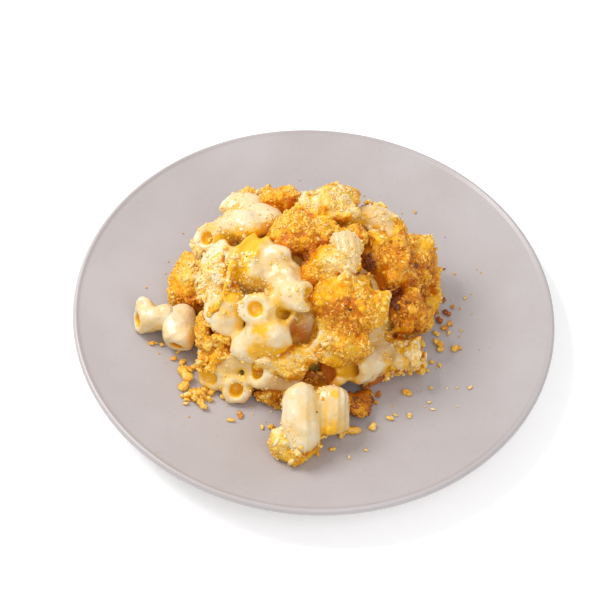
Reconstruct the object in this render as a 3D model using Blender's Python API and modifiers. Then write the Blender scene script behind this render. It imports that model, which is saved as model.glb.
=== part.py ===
"""Macaroni and cheese with toasted crumbs, served on a low coupe plate.

Units are metres, +Z is up, and the origin is the middle of the plate where it stands.
The heap is one solid: bent tubes and rounded lumps of crumb blended together, with hollows
between them, open tube ends, and an underside that follows the plate. Two loose elbows of
pasta lie beside it.
"""

import math

import bmesh
import bpy
import numpy as np
from mathutils import Matrix, Vector

MM = 0.001

# Plate: radii and heights, in millimetres.
PLATE_RADIUS = 110.0
PLATE_HEIGHT = 20.5
WELL_RADIUS = 62.0
WELL_HEIGHT = 7.0
WALL = 4.6
RIM_WALL = 3.4
FLARE_POWER = 1.6
FOOT_RADIUS = 61.0
FOOT_WIDTH = 5.0
FOOT_DEPTH = 2.0
PLATE_STEPS = 48

# Pasta: an elbow is a bent tube, measured with its coat of sauce.
TUBE_RADIUS = 6.8
HOLE_RADIUS = 2.6
HOLE_DEPTH = 9.0
GAP = 0.3

# Heap: the dome that its outer pieces follow.
DOME_CENTRE = Vector((-3.0, -3.0, 7.0))
DOME_RADII = Vector((62.0, 50.0, 53.0))
CORE_DEPTH = 12.0
VOXEL = 1.7
HEAP_TRIANGLES = 5200

# Elbows that show: middle x, y, z (mm), heading, tilt and roll (degrees), length (mm),
# bend (degrees), tube radius (mm), and whether the first end is open to view.
ELBOWS = {
    "hero": (-20, -29, 37, 3, -52, 145, 28, 95, 7.2, True),
    "under_hero": (-23, -39, 32, 3, 21, -90, 23, 40, 7.2, False),
    "sauced_end": (-12, -25, 47, 144, -50, -116, 26, 70, 6.8, True),
    "white_bulge": (-28, 20, 44, -37, 32, -90, 21, 120, 7.6, False),
    "left_ring": (-42, 16, 35, 32, -17, 112, 26, 80, 6.8, True),
    "left_arch": (-37, 14, 46, -22, 37, -137, 26, 130, 6.8, False),
    "back_arch": (-35, 29, 42, 10, 4, -142, 14, 110, 6.8, False),
    "left_shoulder": (-42, -5, 44, -135, -30, -90, 16, 60, 6.8, False),
    "left_middle": (-41, -23, 36, -82, -27, -90, 16, 70, 6.8, False),
    "beside_hero": (-36, -27, 36, -109, -43, -90, 19, 60, 6.8, False),
    "low_left": (-38, -38, 18, -23, 23, -90, 22, 60, 6.8, False),
    "low_curl": (-14, -45, 16, 6, -24, 129, 26, 80, 6.8, True),
    "front_ring": (-32, -42, 9, 95, -16, 66, 24, 50, 6.8, True),
    "front_stub": (-43, -39, 9, 89, -44, -63, 22, 50, 6.8, True),
    "front_left": (-4, -70, 24, 96, 26, -90, 25, 55, 7.8, False),
    "front_right": (9, -64, 22, 90, 32, -90, 19, 55, 7.3, False),
    "right_big": (33, -33, 15, -174, -34, -53, 30, 60, 7.8, True),
    "right_hole": (26, -37, 19, 55, -20, 5, 25, 50, 6.8, True),
    "right_low": (9, -44, 20, -37, -28, -90, 13, 50, 6.5, False),
    "ridged": (13, -7, 55, -82, -15, -90, 17, 50, 6.8, False),
    "top_ridge": (4, 28, 49, 17, -11, -90, 21, 90, 6.8, False),
    "top_right": (27, 25, 41, -15, -10, -90, 14, 80, 6.8, False),
}
FILLER_COUNT = 14
FILLER_SINK = 6.0

# Lumps of crumb and sauce: centre x, y, z and radii, in millimetres.
LUMPS = {
    "peak": (-17, 31, 44, 10, 9, 8),
    "band": (-7, 5, 50, 15, 12, 10),
    "drape": (-25, -8, 46, 15, 12, 11),
    "middle": (4, -13, 47, 11, 9, 9),
    "back_right": (22, 23, 36, 15, 14, 14),
    "right_outer": (42, 11, 25, 15, 15, 16),
    "right_inner": (32, 4, 38, 14, 16, 14),
    "centre_upper": (14, -26, 44, 16, 12, 13),
    "centre_lower": (10, -38, 34, 14, 9, 10),
    "right_small": (41, -19, 30, 10, 9, 9),
    "left": (-53, 4, 16, 13, 14, 15),
    "lower": (-10, -44, 26, 16, 7, 6),
    "front_foot": (-3, -76, 12, 8, 7, 5),
    "front_left_foot": (-48, -52, 9, 8, 5, 3),
    "front_base": (-19, -52, 9, 10, 5, 4),
    "front_join": (2, -53, 13, 13, 9, 8),
    "toasted": (20, -54, 10, 9, 6, 4),
}
HOLLOWS = {
    "beside_end": (-4, -36, 42, 7, 6, 12),
    "under_ridged": (21, -10, 53, 5, 5, 9),
    "under_right": (31, -24, 46, 9, 4, 5),
    "above_front": (3, -46, 23, 7, 5, 6),
}

# Loose elbows on the plate, in the same terms.
STRAYS = {
    "macaroni_stray_right": (-59.5, -22.5, 15, 93, 0, -17, 18, 36, 6.8),
    "macaroni_stray_left": (-74.6, -18, 17, 20, 3, 90, 10.5, 35, 6.8),
}


def clear_scene():
    for obj in list(bpy.data.objects):
        bpy.data.objects.remove(obj, do_unlink=True)


def make_collection(name):
    collection = bpy.data.collections.new(name)
    bpy.context.scene.collection.children.link(collection)
    return collection


def make_material(name, colour, roughness):
    material = bpy.data.materials.new(name)
    material.use_nodes = True
    shader = material.node_tree.nodes["Principled BSDF"]
    shader.inputs["Base Color"].default_value = (*colour, 1.0)
    shader.inputs["Roughness"].default_value = roughness
    shader.inputs["Metallic"].default_value = 0.0
    return material


def add_object(name, mesh, collection, material=None):
    obj = bpy.data.objects.new(name, mesh)
    collection.objects.link(obj)
    if material:
        mesh.materials.clear()
        mesh.materials.append(material)
    return obj


def as_cutter(obj):
    obj.hide_render = True
    obj.display_type = 'WIRE'
    return obj


def cut(target, cutter):
    modifier = target.modifiers.new("cut_" + cutter.name, 'BOOLEAN')
    modifier.operation = 'DIFFERENCE'
    modifier.solver = 'EXACT'
    modifier.object = cutter


def flare_height(radius):
    """Height of the plate's top face at a radius: level in the well, then a rising power curve."""
    reach = max(0.0, (radius - WELL_RADIUS) / (PLATE_RADIUS - RIM_WALL / 2 - WELL_RADIUS))
    return WELL_HEIGHT + (PLATE_HEIGHT - RIM_WALL * 0.12 - WELL_HEIGHT) * reach ** FLARE_POWER


def flare_radii(start, count):
    """Radii for the flare, from a start just past the well out to the rim's round."""
    return np.linspace(start, PLATE_RADIUS - RIM_WALL * 0.75, count)


def plate_profile():
    """Half section, from the middle of the top face round the rim to the middle below."""
    top = [(0.0, WELL_HEIGHT), (WELL_RADIUS - 4.0, WELL_HEIGHT)]
    top += [(r, flare_height(r)) for r in flare_radii(WELL_RADIUS + 3.0, 7)]
    rim_z = PLATE_HEIGHT - RIM_WALL / 2
    rim_r = PLATE_RADIUS - RIM_WALL / 2
    angles = np.radians(np.linspace(100, -80, 6))
    rim = [(rim_r + math.cos(a) * RIM_WALL / 2, rim_z + math.sin(a) * RIM_WALL / 2) for a in angles]
    foot_top = WELL_HEIGHT - WALL
    under = []
    for r in flare_radii(FOOT_RADIUS + 4.0, 5)[::-1]:
        share = (r - FOOT_RADIUS) / (PLATE_RADIUS - FOOT_RADIUS)
        under.append((r, flare_height(r) - WALL + (WALL - RIM_WALL) * share))
    foot = [
        (FOOT_RADIUS + 0.6, foot_top),
        (FOOT_RADIUS, 0.0),
        (FOOT_RADIUS - FOOT_WIDTH, 0.0),
        (FOOT_RADIUS - FOOT_WIDTH - 0.6, FOOT_DEPTH),
        (0.0, FOOT_DEPTH),
    ]
    return top + rim + under + foot


def turned(name, profile, steps, collection, material=None):
    """Solid of revolution about Z from a half section given in millimetres."""
    mesh = bpy.data.meshes.new(name)
    points = [(r * MM, 0.0, z * MM) for r, z in profile]
    edges = [(i, i + 1) for i in range(len(points) - 1)]
    mesh.from_pydata(points, edges, [])
    obj = add_object(name, mesh, collection, material)
    screw = obj.modifiers.new("turn", 'SCREW')
    screw.axis = 'Z'
    screw.angle = math.tau
    screw.steps = steps
    screw.render_steps = steps
    screw.use_merge_vertices = True
    screw.merge_threshold = 0.00001
    screw.use_smooth_shade = True
    return obj


def arc_axes(heading, tilt, roll):
    """Tangent and inward normal of an elbow's arc at its middle."""
    turn, rise, spin = (math.radians(a) for a in (heading, tilt, roll))
    tangent = Vector((math.cos(turn) * math.cos(rise), math.sin(turn) * math.cos(rise), math.sin(rise)))
    side = Vector((-math.sin(turn), math.cos(turn), 0.0))
    above = tangent.cross(side)
    return tangent, side * math.cos(spin) + above * math.sin(spin)


def arc_points(middle, tangent, normal, length, bend, count=7):
    """Points along a circular arc that bends towards the normal."""
    sweep = math.radians(bend)
    radius = length / sweep
    points = []
    for angle in np.linspace(-sweep / 2, sweep / 2, count):
        along = tangent * (radius * math.sin(angle))
        inward = normal * (radius * (1 - math.cos(angle)))
        points.append(Vector(middle) + along + inward)
    return points


def tube_mesh(name, points, radius):
    """Round solid bar along a path, as a closed mesh."""
    curve = bpy.data.curves.new(name, 'CURVE')
    curve.dimensions = '3D'
    curve.bevel_depth = radius * MM
    curve.bevel_resolution = 3
    curve.use_fill_caps = True
    spline = curve.splines.new('POLY')
    spline.points.add(len(points) - 1)
    for place, point in zip(spline.points, points):
        place.co = (*(point * MM), 1.0)
    holder = bpy.data.objects.new(name, curve)
    bpy.context.scene.collection.objects.link(holder)
    graph = bpy.context.evaluated_depsgraph_get()
    mesh = bpy.data.meshes.new_from_object(holder.evaluated_get(graph))
    bpy.data.objects.remove(holder, do_unlink=True)
    bpy.data.curves.remove(curve)
    work = bmesh.new()
    work.from_mesh(mesh)
    bmesh.ops.remove_doubles(work, verts=work.verts, dist=0.00001)
    bmesh.ops.recalc_face_normals(work, faces=work.faces)
    work.to_mesh(mesh)
    work.free()
    return mesh


def elbow_mesh(name, row, radius=None):
    x, y, z, heading, tilt, roll, length, bend, tube = row[:9]
    tangent, normal = arc_axes(heading, tilt, roll)
    points = arc_points((x, y, z), tangent, normal, length, bend)
    return tube_mesh(name, points, radius or tube)


def ellipsoid(name, row, collection):
    x, y, z, *radii = row
    mesh = bpy.data.meshes.new(name)
    work = bmesh.new()
    bmesh.ops.create_uvsphere(work, u_segments=16, v_segments=10, radius=MM)
    shape = Matrix.Translation(Vector((x, y, z)) * MM) @ Matrix.Diagonal((*radii, 1.0))
    bmesh.ops.transform(work, matrix=shape, verts=work.verts)
    work.to_mesh(mesh)
    work.free()
    return add_object(name, mesh, collection)


def filler_rows():
    """Elbows over the back of the dome, laid tangent to it at spread-out headings."""
    rows = []
    for i in range(FILLER_COUNT):
        azimuth = math.radians(15 + (i * 53) % 150)
        height = math.radians((10, 36)[i % 2])
        flat = math.cos(height)
        direction = Vector((math.cos(azimuth) * flat, math.sin(azimuth) * flat, math.sin(height)))
        outward = Vector(d / r for d, r in zip(direction, DOME_RADII)).normalized()
        level = outward.cross(Vector((0, 0, 1))).normalized()
        spin = math.radians(i * 97)
        tangent = level * math.cos(spin) + outward.cross(level) * math.sin(spin)
        reach = [d * (r - FILLER_SINK) for d, r in zip(direction, DOME_RADII)]
        rows.append((DOME_CENTRE + Vector(reach), tangent, -outward))
    return rows


def heap_pieces(cutters):
    """Meshes of the core, the lumps, the elbows that show and the fillers."""
    core = (*DOME_CENTRE, *(r - CORE_DEPTH for r in DOME_RADII))
    pieces = [ellipsoid("core", core, cutters)]
    pieces += [ellipsoid("lump_" + name, row, cutters) for name, row in LUMPS.items()]
    for name, row in ELBOWS.items():
        pieces.append(add_object("elbow_" + name, elbow_mesh(name, row), cutters))
    for i, (middle, tangent, normal) in enumerate(filler_rows()):
        points = arc_points(middle, tangent, normal, 26, 85)
        mesh = tube_mesh("filler", points, TUBE_RADIUS)
        pieces.append(add_object(f"filler_{i}", mesh, cutters))
    return pieces


def largest_shell(mesh):
    """Keep the biggest connected shell, which drops the voids sealed inside the blend."""
    work = bmesh.new()
    work.from_mesh(mesh)
    work.verts.ensure_lookup_table()
    seen = set()
    shells = []
    for start in work.verts:
        if start in seen:
            continue
        shell = {start}
        edge = [start]
        while edge:
            vert = edge.pop()
            for link in vert.link_edges:
                other = link.other_vert(vert)
                if other not in shell:
                    shell.add(other)
                    edge.append(other)
        seen |= shell
        shells.append(shell)
    keep = max(shells, key=len)
    bmesh.ops.delete(work, geom=[v for v in work.verts if v not in keep], context='VERTS')
    work.to_mesh(mesh)
    work.free()


def trim_below(mesh, level):
    """Cut the mesh off flat at a height in millimetres and close the cut."""
    work = bmesh.new()
    work.from_mesh(mesh)
    everything = work.verts[:] + work.edges[:] + work.faces[:]
    place = Vector((0, 0, level * MM))
    bmesh.ops.bisect_plane(work, geom=everything, plane_co=place, plane_no=(0, 0, 1), clear_inner=True)
    rim = [e for e in work.edges if e.is_boundary]
    bmesh.ops.holes_fill(work, edges=rim, sides=0)
    bmesh.ops.triangulate(work, faces=work.faces)
    work.to_mesh(mesh)
    work.free()


def blend(pieces, collection):
    """Join overlapping closed pieces into one smooth skin."""
    work = bmesh.new()
    for piece in pieces:
        work.from_mesh(piece.data)
        bpy.data.objects.remove(piece, do_unlink=True)
    mesh = bpy.data.meshes.new("blend")
    work.to_mesh(mesh)
    work.free()
    obj = add_object("blend", mesh, collection)
    remesh = obj.modifiers.new("blend", 'REMESH')
    remesh.mode = 'VOXEL'
    remesh.voxel_size = VOXEL * MM
    soften = obj.modifiers.new("soften", 'SMOOTH')
    soften.factor = 0.5
    soften.iterations = 3
    graph = bpy.context.evaluated_depsgraph_get()
    skin = bpy.data.meshes.new_from_object(obj.evaluated_get(graph))
    bpy.data.objects.remove(obj, do_unlink=True)
    largest_shell(skin)
    trim_below(skin, 0.0)
    return skin


def plate_clearance(cutters):
    """Turned cutter whose top is the plate's top face raised by the gap."""
    outer = PLATE_RADIUS + 10.0
    profile = [(0.0, WELL_HEIGHT + GAP), (WELL_RADIUS, WELL_HEIGHT + GAP)]
    profile += [(r, flare_height(r) + GAP) for r in flare_radii(WELL_RADIUS + 3.0, 7)]
    profile += [(outer, PLATE_HEIGHT + GAP), (outer, -10.0), (0.0, -10.0)]
    return as_cutter(turned("plate_clearance", profile, PLATE_STEPS, cutters))


def hole_cutter(name, row, cutters):
    """Short bar that opens an elbow's first end, straight in from its mouth."""
    x, y, z, heading, tilt, roll, length, bend, _, _ = row
    tangent, normal = arc_axes(heading, tilt, roll)
    points = arc_points((x, y, z), tangent, normal, length, bend)
    outward = (points[0] - points[1]).normalized()
    path = [points[0] + outward * 8.0, points[0] - outward * HOLE_DEPTH]
    return as_cutter(add_object("hole_" + name, tube_mesh(name, path, HOLE_RADIUS), cutters))


def make_heap(parts, cutters, material):
    skin = blend(heap_pieces(cutters), cutters)
    heap = add_object("macaroni_heap", skin, parts, material)
    thin = heap.modifiers.new("thin", 'DECIMATE')
    thin.decimate_type = 'COLLAPSE'
    thin.ratio = HEAP_TRIANGLES / len(skin.polygons)
    for name, row in HOLLOWS.items():
        cut(heap, as_cutter(ellipsoid("hollow_" + name, row, cutters)))
    cut(heap, plate_clearance(cutters))
    for name, row in ELBOWS.items():
        if row[9]:
            cut(heap, hole_cutter(name, row, cutters))
    skin.shade_smooth()
    return heap


def make_stray(name, row, parts, cutters, material):
    """Loose elbow: a bent tube with its hole right through."""
    stray = add_object(name, elbow_mesh(name, row), parts, material)
    longer = list(row)
    longer[6] = row[6] * 1.3
    longer[7] = row[7] * 1.3
    bore = add_object(name + "_bore", elbow_mesh(name, longer, HOLE_RADIUS), cutters)
    cut(stray, as_cutter(bore))
    stray.data.shade_smooth()
    stray.data.set_sharp_from_angle(angle=math.radians(40))
    return stray


def main():
    clear_scene()
    parts = make_collection("macaroni_cheese_plate")
    cutters = make_collection("cutters")
    glaze = make_material("plate_glaze", (0.60, 0.52, 0.51), 0.42)
    sauce = make_material("cheese_sauce", (0.84, 0.60, 0.25), 0.35)
    pasta = make_material("sauced_pasta", (0.88, 0.72, 0.42), 0.3)
    plate = turned("plate", plate_profile(), PLATE_STEPS, parts, glaze)
    plate.data.shade_smooth()
    make_heap(parts, cutters, sauce)
    for name, row in STRAYS.items():
        make_stray(name, row, parts, cutters, pasta)


main()
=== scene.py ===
# Macaroni and cheese with toasted crumbs, heaped on a low coupe plate.
# Lengths in the tables are millimetres, placed from the middle of the plate's foot; meshes are in metres.
import math

import bpy
import numpy as np
from mathutils import Matrix, Vector


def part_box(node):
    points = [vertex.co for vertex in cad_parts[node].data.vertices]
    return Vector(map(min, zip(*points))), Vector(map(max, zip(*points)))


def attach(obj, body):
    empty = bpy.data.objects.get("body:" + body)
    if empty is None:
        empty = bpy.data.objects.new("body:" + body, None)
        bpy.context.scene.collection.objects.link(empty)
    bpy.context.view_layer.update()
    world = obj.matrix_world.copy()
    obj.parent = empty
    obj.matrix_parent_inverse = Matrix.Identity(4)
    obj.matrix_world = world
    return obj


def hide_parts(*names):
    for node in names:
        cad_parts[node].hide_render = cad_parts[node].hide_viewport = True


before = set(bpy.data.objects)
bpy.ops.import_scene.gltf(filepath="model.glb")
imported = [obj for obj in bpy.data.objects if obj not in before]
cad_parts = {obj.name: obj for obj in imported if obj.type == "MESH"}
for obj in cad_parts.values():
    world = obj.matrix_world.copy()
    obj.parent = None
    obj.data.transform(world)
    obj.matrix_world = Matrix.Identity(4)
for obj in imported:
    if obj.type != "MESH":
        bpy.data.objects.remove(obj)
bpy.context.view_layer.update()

mm = 0.001
plateLow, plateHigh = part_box("plate")
plateMiddle = np.array(((plateLow.x + plateHigh.x) / 2, (plateLow.y + plateHigh.y) / 2, plateLow.z)) / mm
plateRadius = (plateHigh.x - plateLow.x) / 2 / mm
plateTop = (plateHigh.z - plateLow.z) / mm
far = 9.0  # distance kept in a field where nothing is near
rng = np.random.default_rng(41)


# materials from expressions

class Value:
    # A number that varies over a surface. Arithmetic on it adds Math nodes, so 1 - mask works.
    def __init__(self, tree, socket):
        self.tree = tree
        self.socket = socket

    def math(self, operation, first, second=None):
        node = self.tree.nodes.new("ShaderNodeMath")
        node.operation = operation
        for place, value in zip(node.inputs, (first, second)):
            if isinstance(value, Value):
                self.tree.links.new(value.socket, place)
            elif value is not None:
                place.default_value = value
        return Value(self.tree, node.outputs[0])

    def __add__(self, other):
        return self.math("ADD", self, other)

    def __sub__(self, other):
        return self.math("SUBTRACT", self, other)

    def __rsub__(self, other):
        return self.math("SUBTRACT", other, self)

    def __mul__(self, other):
        return self.math("MULTIPLY", self, other)

    __radd__ = __add__
    __rmul__ = __mul__

    def least(self, other):
        return self.math("MINIMUM", self, other)

    def most(self, other):
        return self.math("MAXIMUM", self, other)

    def spread(self, low, high):
        # 0 at low, 1 at high, held between
        return ((self - low) * (1.0 / (high - low))).least(1.0).most(0.0)


class Look:
    # One material with a Principled shader, whose nodes are added from expressions.
    def __init__(self, name):
        self.material = bpy.data.materials.new(name)
        self.material.use_nodes = True
        self.tree = self.material.node_tree
        self.shader = self.tree.nodes["Principled BSDF"]

    def feed(self, place, value):
        if isinstance(value, Value):
            self.tree.links.new(value.socket, place)
        elif isinstance(value, bpy.types.NodeSocket):
            self.tree.links.new(value, place)
        else:
            place.default_value = value

    def node(self, kind, settings, inputs):
        # Settings come first, because some of them change the sockets.
        made = self.tree.nodes.new(kind)
        for name, value in settings.items():
            if name == "stops":
                placeStops(made.color_ramp, value)
            else:
                setattr(made, name, value)
        for name, value in inputs.items():
            self.feed(made.inputs[name], value)
        return made

    def place(self):
        return self.node("ShaderNodeTexCoord", {}, {}).outputs["Object"]

    def attribute(self, name):
        made = self.node("ShaderNodeAttribute", {"attribute_name": name}, {})
        return Value(self.tree, made.outputs["Fac"])

    def noise(self, size, detail=2.0, rough=0.5):
        # Cloudy noise with patches of about the given size in millimetres
        inputs = {"Vector": self.place(), "Scale": 1.0 / (size * mm), "Detail": detail, "Roughness": rough}
        made = self.node("ShaderNodeTexNoise", {"noise_dimensions": "3D"}, inputs)
        return Value(self.tree, made.outputs["Fac"])

    def cells(self, size, output="Distance"):
        # Distance to the nearest of scattered points, or that point's own random shade
        inputs = {"Vector": self.place(), "Scale": 1.0 / (size * mm)}
        made = self.node("ShaderNodeTexVoronoi", {"feature": "F1"}, inputs)
        return Value(self.tree, made.outputs[output])

    def mix(self, share, first, second):
        # Sockets 0, 6 and 7 of a colour Mix node are its factor and its two colours.
        made = self.node("ShaderNodeMix", {"data_type": "RGBA"}, {0: share, 6: first, 7: second})
        return made.outputs[2]

    def ramp(self, value, stops):
        return self.node("ShaderNodeValToRGB", {"stops": stops}, {0: value}).outputs["Color"]

    def bump(self, height, strength, depth):
        # depth in millimetres for a height of 0 to 1
        inputs = {"Height": height, "Strength": strength, "Distance": depth * mm}
        return self.node("ShaderNodeBump", {}, inputs).outputs["Normal"]

    def finish(self, inputs):
        for name, value in inputs.items():
            self.feed(self.shader.inputs[name], value)
        return self.material


def placeStops(ramp, stops):
    while len(ramp.elements) < len(stops):
        ramp.elements.new(0.5)
    for element, (position, colour) in zip(ramp.elements, stops):
        element.position = position
        element.color = colour


def tint(red, green, blue):
    # Screen colour, 0 to 255, as the linear colour that a shader takes
    return tuple(((c / 255 + 0.055) / 1.055) ** 2.4 for c in (red, green, blue)) + (1.0,)


# noise and distance fields, on whole arrays

noiseTable = rng.random((32, 32, 32)).astype(np.float32) * 2 - 1


def softNoise(x, y, z, size, shift=0):
    # Value noise, -1 to 1: random values on a lattice, eased between with 3f^2 - 2f^3 along each axis.
    steps = []
    for values, offset in ((x, shift * 7.3), (y, shift * 3.1), (z, shift * 5.7)):
        scaled = values / size + offset
        cell = np.floor(scaled)
        part = (scaled - cell).astype(np.float32)
        steps.append((cell.astype(np.int32), part * part * (3 - 2 * part)))
    (i, u), (j, v), (k, w) = steps
    total = 0.0
    for a in (0, 1):
        for b in (0, 1):
            for c in (0, 1):
                share = (u if a else 1 - u) * (v if b else 1 - v) * (w if c else 1 - w)
                total = total + share * noiseTable[(i + a) & 31, (j + b) & 31, (k + c) & 31]
    return total


def pebbleNoise(points, size, shift=0):
    # Distance from each point to the nearest jittered lattice point over the lattice size, and the random
    # shade of that lattice point.
    scaled = points / size + shift * 4.7
    cell = np.floor(scaled).astype(np.int32)
    part = (scaled - cell).astype(np.float32)
    nearest = np.full(len(points), 9.0, np.float32)
    shade = np.zeros(len(points), np.float32)
    for offset in np.ndindex(3, 3, 3):
        step = np.array(offset, np.int32) - 1
        i, j, k = ((cell + step) & 31).T
        jitter = np.stack((noiseTable[i, j, k], noiseTable[j, k, i], noiseTable[k, i, j]), 1) * 0.45 + 0.5
        distance = np.sqrt(((step + jitter - part) ** 2).sum(1))
        closer = distance < nearest
        nearest = np.where(closer, distance, nearest)
        shade = np.where(closer, noiseTable[k, j, i] * 0.5 + 0.5, shade)
    return nearest, shade


def softMin(first, second, softness):
    # The smaller of two distances, with a fillet: min - h^2 k / 4, where h = max(k - |a - b|, 0) / k.
    h = np.maximum(softness - np.abs(first - second), 0) / softness
    return np.minimum(first, second) - h * h * (softness / 4)


def softMax(first, second, softness):
    # The larger of two distances, with the inner corner rounded: the negative of softMin of the negatives.
    return -softMin(-first, -second, softness)


class Block:
    # A box of samples of the distance to a surface, negative inside. Shapes are joined to it or carved out.
    def __init__(self, low, high, step):
        self.low = np.array(low, np.float32)
        self.step = step
        count = [int(math.ceil((b - a) / step)) + 1 for a, b in zip(low, high)]
        self.axes = [a + step * np.arange(n, dtype=np.float32) for a, n in zip(low, count)]
        self.value = np.full(count, far, np.float32)

    def window(self, centre, reach):
        # The part of the box within reach of a centre: its slices, and its coordinates along each axis
        cut = []
        for middle, low, size in zip(centre, self.low, self.value.shape):
            start = max(0, int((middle - reach - low) / self.step))
            stop = min(size, int((middle + reach - low) / self.step) + 2)
            cut.append(slice(start, stop))
        x, y, z = np.ix_(*(axis[part] for axis, part in zip(self.axes, cut)))
        return tuple(cut), x, y, z

    def add(self, centre, reach, shape, softness):
        cut, x, y, z = self.window(centre, reach)
        self.value[cut] = softMin(self.value[cut], shape(x, y, z), softness)

    def carve(self, centre, reach, shape, softness):
        cut, x, y, z = self.window(centre, reach)
        self.value[cut] = softMax(self.value[cut], -shape(x, y, z), softness)

    def nearSurface(self, reach):
        # Indices and places of the samples close to the surface
        index = np.nonzero(np.abs(self.value) < reach)
        places = np.stack([axis[i] for axis, i in zip(self.axes, index)], 1)
        return index, places

    def sample(self, points):
        # Linear interpolation between the eight samples round each point
        scaled = (points - self.low) / self.step
        top = np.array(self.value.shape) - 2
        cell = np.clip(np.floor(scaled).astype(int), 0, top)
        part = np.clip(scaled - cell, 0, 1)
        outside = np.linalg.norm(np.maximum(0, np.maximum(-scaled, scaled - top - 1)), axis=1) * self.step
        total = 0.0
        for corner in np.ndindex(2, 2, 2):
            share = np.prod(np.where(np.array(corner) == 1, part, 1 - part), axis=1)
            i, j, k = (cell + corner).T
            total = total + share * self.value[i, j, k]
        return total + outside


def surfaceNet(block):
    # One point for each cell that the surface crosses, at the mean of the crossings on the cell's edges, and
    # one four-sided face round each grid edge that it crosses, turned to face outwards.
    value = block.value
    size = np.array(value.shape)
    stride = np.array((size[1] * size[2], size[2], 1))
    cells, crossings = [], []
    for axis in range(3):
        b, c = (axis + 1) % 3, (axis + 2) % 3
        first = np.moveaxis(value, axis, 0)[:-1]
        second = np.moveaxis(value, axis, 0)[1:]
        hit = np.nonzero((first < 0) != (second < 0))
        start, end = first[hit], second[hit]
        order = [axis] + [a for a in range(3) if a != axis]
        place = np.zeros((len(start), 3))
        for column, side in zip(hit, order):
            place[:, side] = column
        home = place.astype(int)
        place[:, axis] += start / (start - end)
        corners = []
        for stepB, stepC in ((-1, -1), (0, -1), (0, 0), (-1, 0)):
            corners.append(home @ stride + stepB * stride[b] + stepC * stride[c])
        corners = np.stack(corners, 1)
        outward = start < 0
        cells.append(np.where(outward[:, None], corners, corners[:, ::-1]))
        crossings.append(np.repeat(place[:, None], 4, 1))
    cells = np.concatenate(cells)
    crossings = np.concatenate(crossings)
    faces = np.unique(cells, return_inverse=True)[1].reshape(-1)
    many = np.bincount(faces)
    flat = crossings.reshape(-1, 3)
    points = np.stack([np.bincount(faces, flat[:, a]) / many for a in range(3)], 1)
    return points * block.step + block.low, faces.reshape(-1, 4)


def faceNormals(points, faces):
    # Cross product of a face's diagonals: twice its area, along its normal.
    return np.cross(points[faces[:, 2]] - points[faces[:, 0]], points[faces[:, -1]] - points[faces[:, 1]])


def pointNormals(points, faces):
    # The sum of the face normals round each point, brought to length 1.
    normals = faceNormals(points, faces)
    total = np.zeros_like(points)
    for column in faces.T:
        for a in range(3):
            total[:, a] += np.bincount(column, normals[:, a], len(points))
    return total / np.maximum(np.linalg.norm(total, axis=1, keepdims=True), 1e-9)


def makePiece(name, points, faces, look, replaced=(), masks=None, smooth=True):
    # A mesh in metres from points in millimetres, riding on the part's one body.
    mesh = bpy.data.meshes.new(name)
    faceList = []
    for group in faces if isinstance(faces, list) else [faces]:
        faceList += group.tolist()
    mesh.from_pydata(((points + plateMiddle) * mm).astype(np.float32), [], faceList)
    mesh.polygons.foreach_set("use_smooth", np.full(len(mesh.polygons), smooth))
    for mask, values in (masks or {}).items():
        mesh.attributes.new(mask, "FLOAT", "POINT").data.foreach_set("value", values.astype(np.float32))
    mesh.materials.append(look)
    mesh.update()
    piece = bpy.data.objects.new(name, mesh)
    bpy.context.scene.collection.objects.link(piece)
    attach(piece, "root")
    if replaced:
        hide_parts(*replaced)
    mesh.calc_loop_triangles()
    print(name, len(mesh.loop_triangles), "triangles")
    return piece


# the plate

plateShape = {
    "wellRadius": 62.0,
    "wellHeight": 7.0,
    "wall": 4.6,
    "rimWall": 3.4,
    "flarePower": 1.6,
    "footRadius": 61.0,
    "footWidth": 5.0,
    "footDepth": 2.0,
    "footRound": 1.1,
    "around": 256,
}


def flareHeight(radius):
    # Height of the top face: level in the well, then rising to the rim with the share of the way there,
    # raised to the flare power.
    s = plateShape
    reach = (radius - s["wellRadius"]) / (plateRadius - s["rimWall"] / 2 - s["wellRadius"])
    rise = plateTop - s["rimWall"] * 0.12 - s["wellHeight"]
    return s["wellHeight"] + rise * np.maximum(0.0, reach) ** s["flarePower"]


def arcPoints(centreR, centreZ, radius, fromAngle, toAngle, count):
    # Centre plus radius times cosine and sine, from one angle to the other in degrees.
    angle = np.radians(np.linspace(fromAngle, toAngle, count))
    return np.stack((centreR + radius * np.cos(angle), centreZ + radius * np.sin(angle)), 1)


def plateProfile():
    # Half section as rows of radius and height: top face, round rim, underside, foot ring, recess.
    s = plateShape
    well = np.linspace(0, s["wellRadius"] - 2, 20)
    flare = np.linspace(s["wellRadius"], plateRadius - 2.4, 34)
    topR = np.concatenate((well, flare))
    top = np.stack((topR, flareHeight(topR)), 1)
    half = s["rimWall"] / 2
    rim = arcPoints(plateRadius - half, plateTop - half, half, 100, -80, 13)
    underR = np.linspace(plateRadius - 4.5, s["footRadius"] + 2.0, 26)
    share = (underR - s["footRadius"]) / (plateRadius - s["footRadius"])
    thickness = s["wall"] + (s["rimWall"] - s["wall"]) * share
    under = np.stack((underR, flareHeight(underR) - thickness), 1)
    edge = s["footRound"]
    outer = arcPoints(s["footRadius"] - edge, edge, edge, 0, -90, 6)
    inner = arcPoints(s["footRadius"] - s["footWidth"] + edge, edge, edge, -90, -180, 6)
    recessR = np.linspace(s["footRadius"] - s["footWidth"] - 1.5, 0, 14)
    recess = np.stack((recessR, np.full(len(recessR), s["footDepth"])), 1)
    return np.concatenate((top, rim, under, outer, inner, recess))


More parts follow.
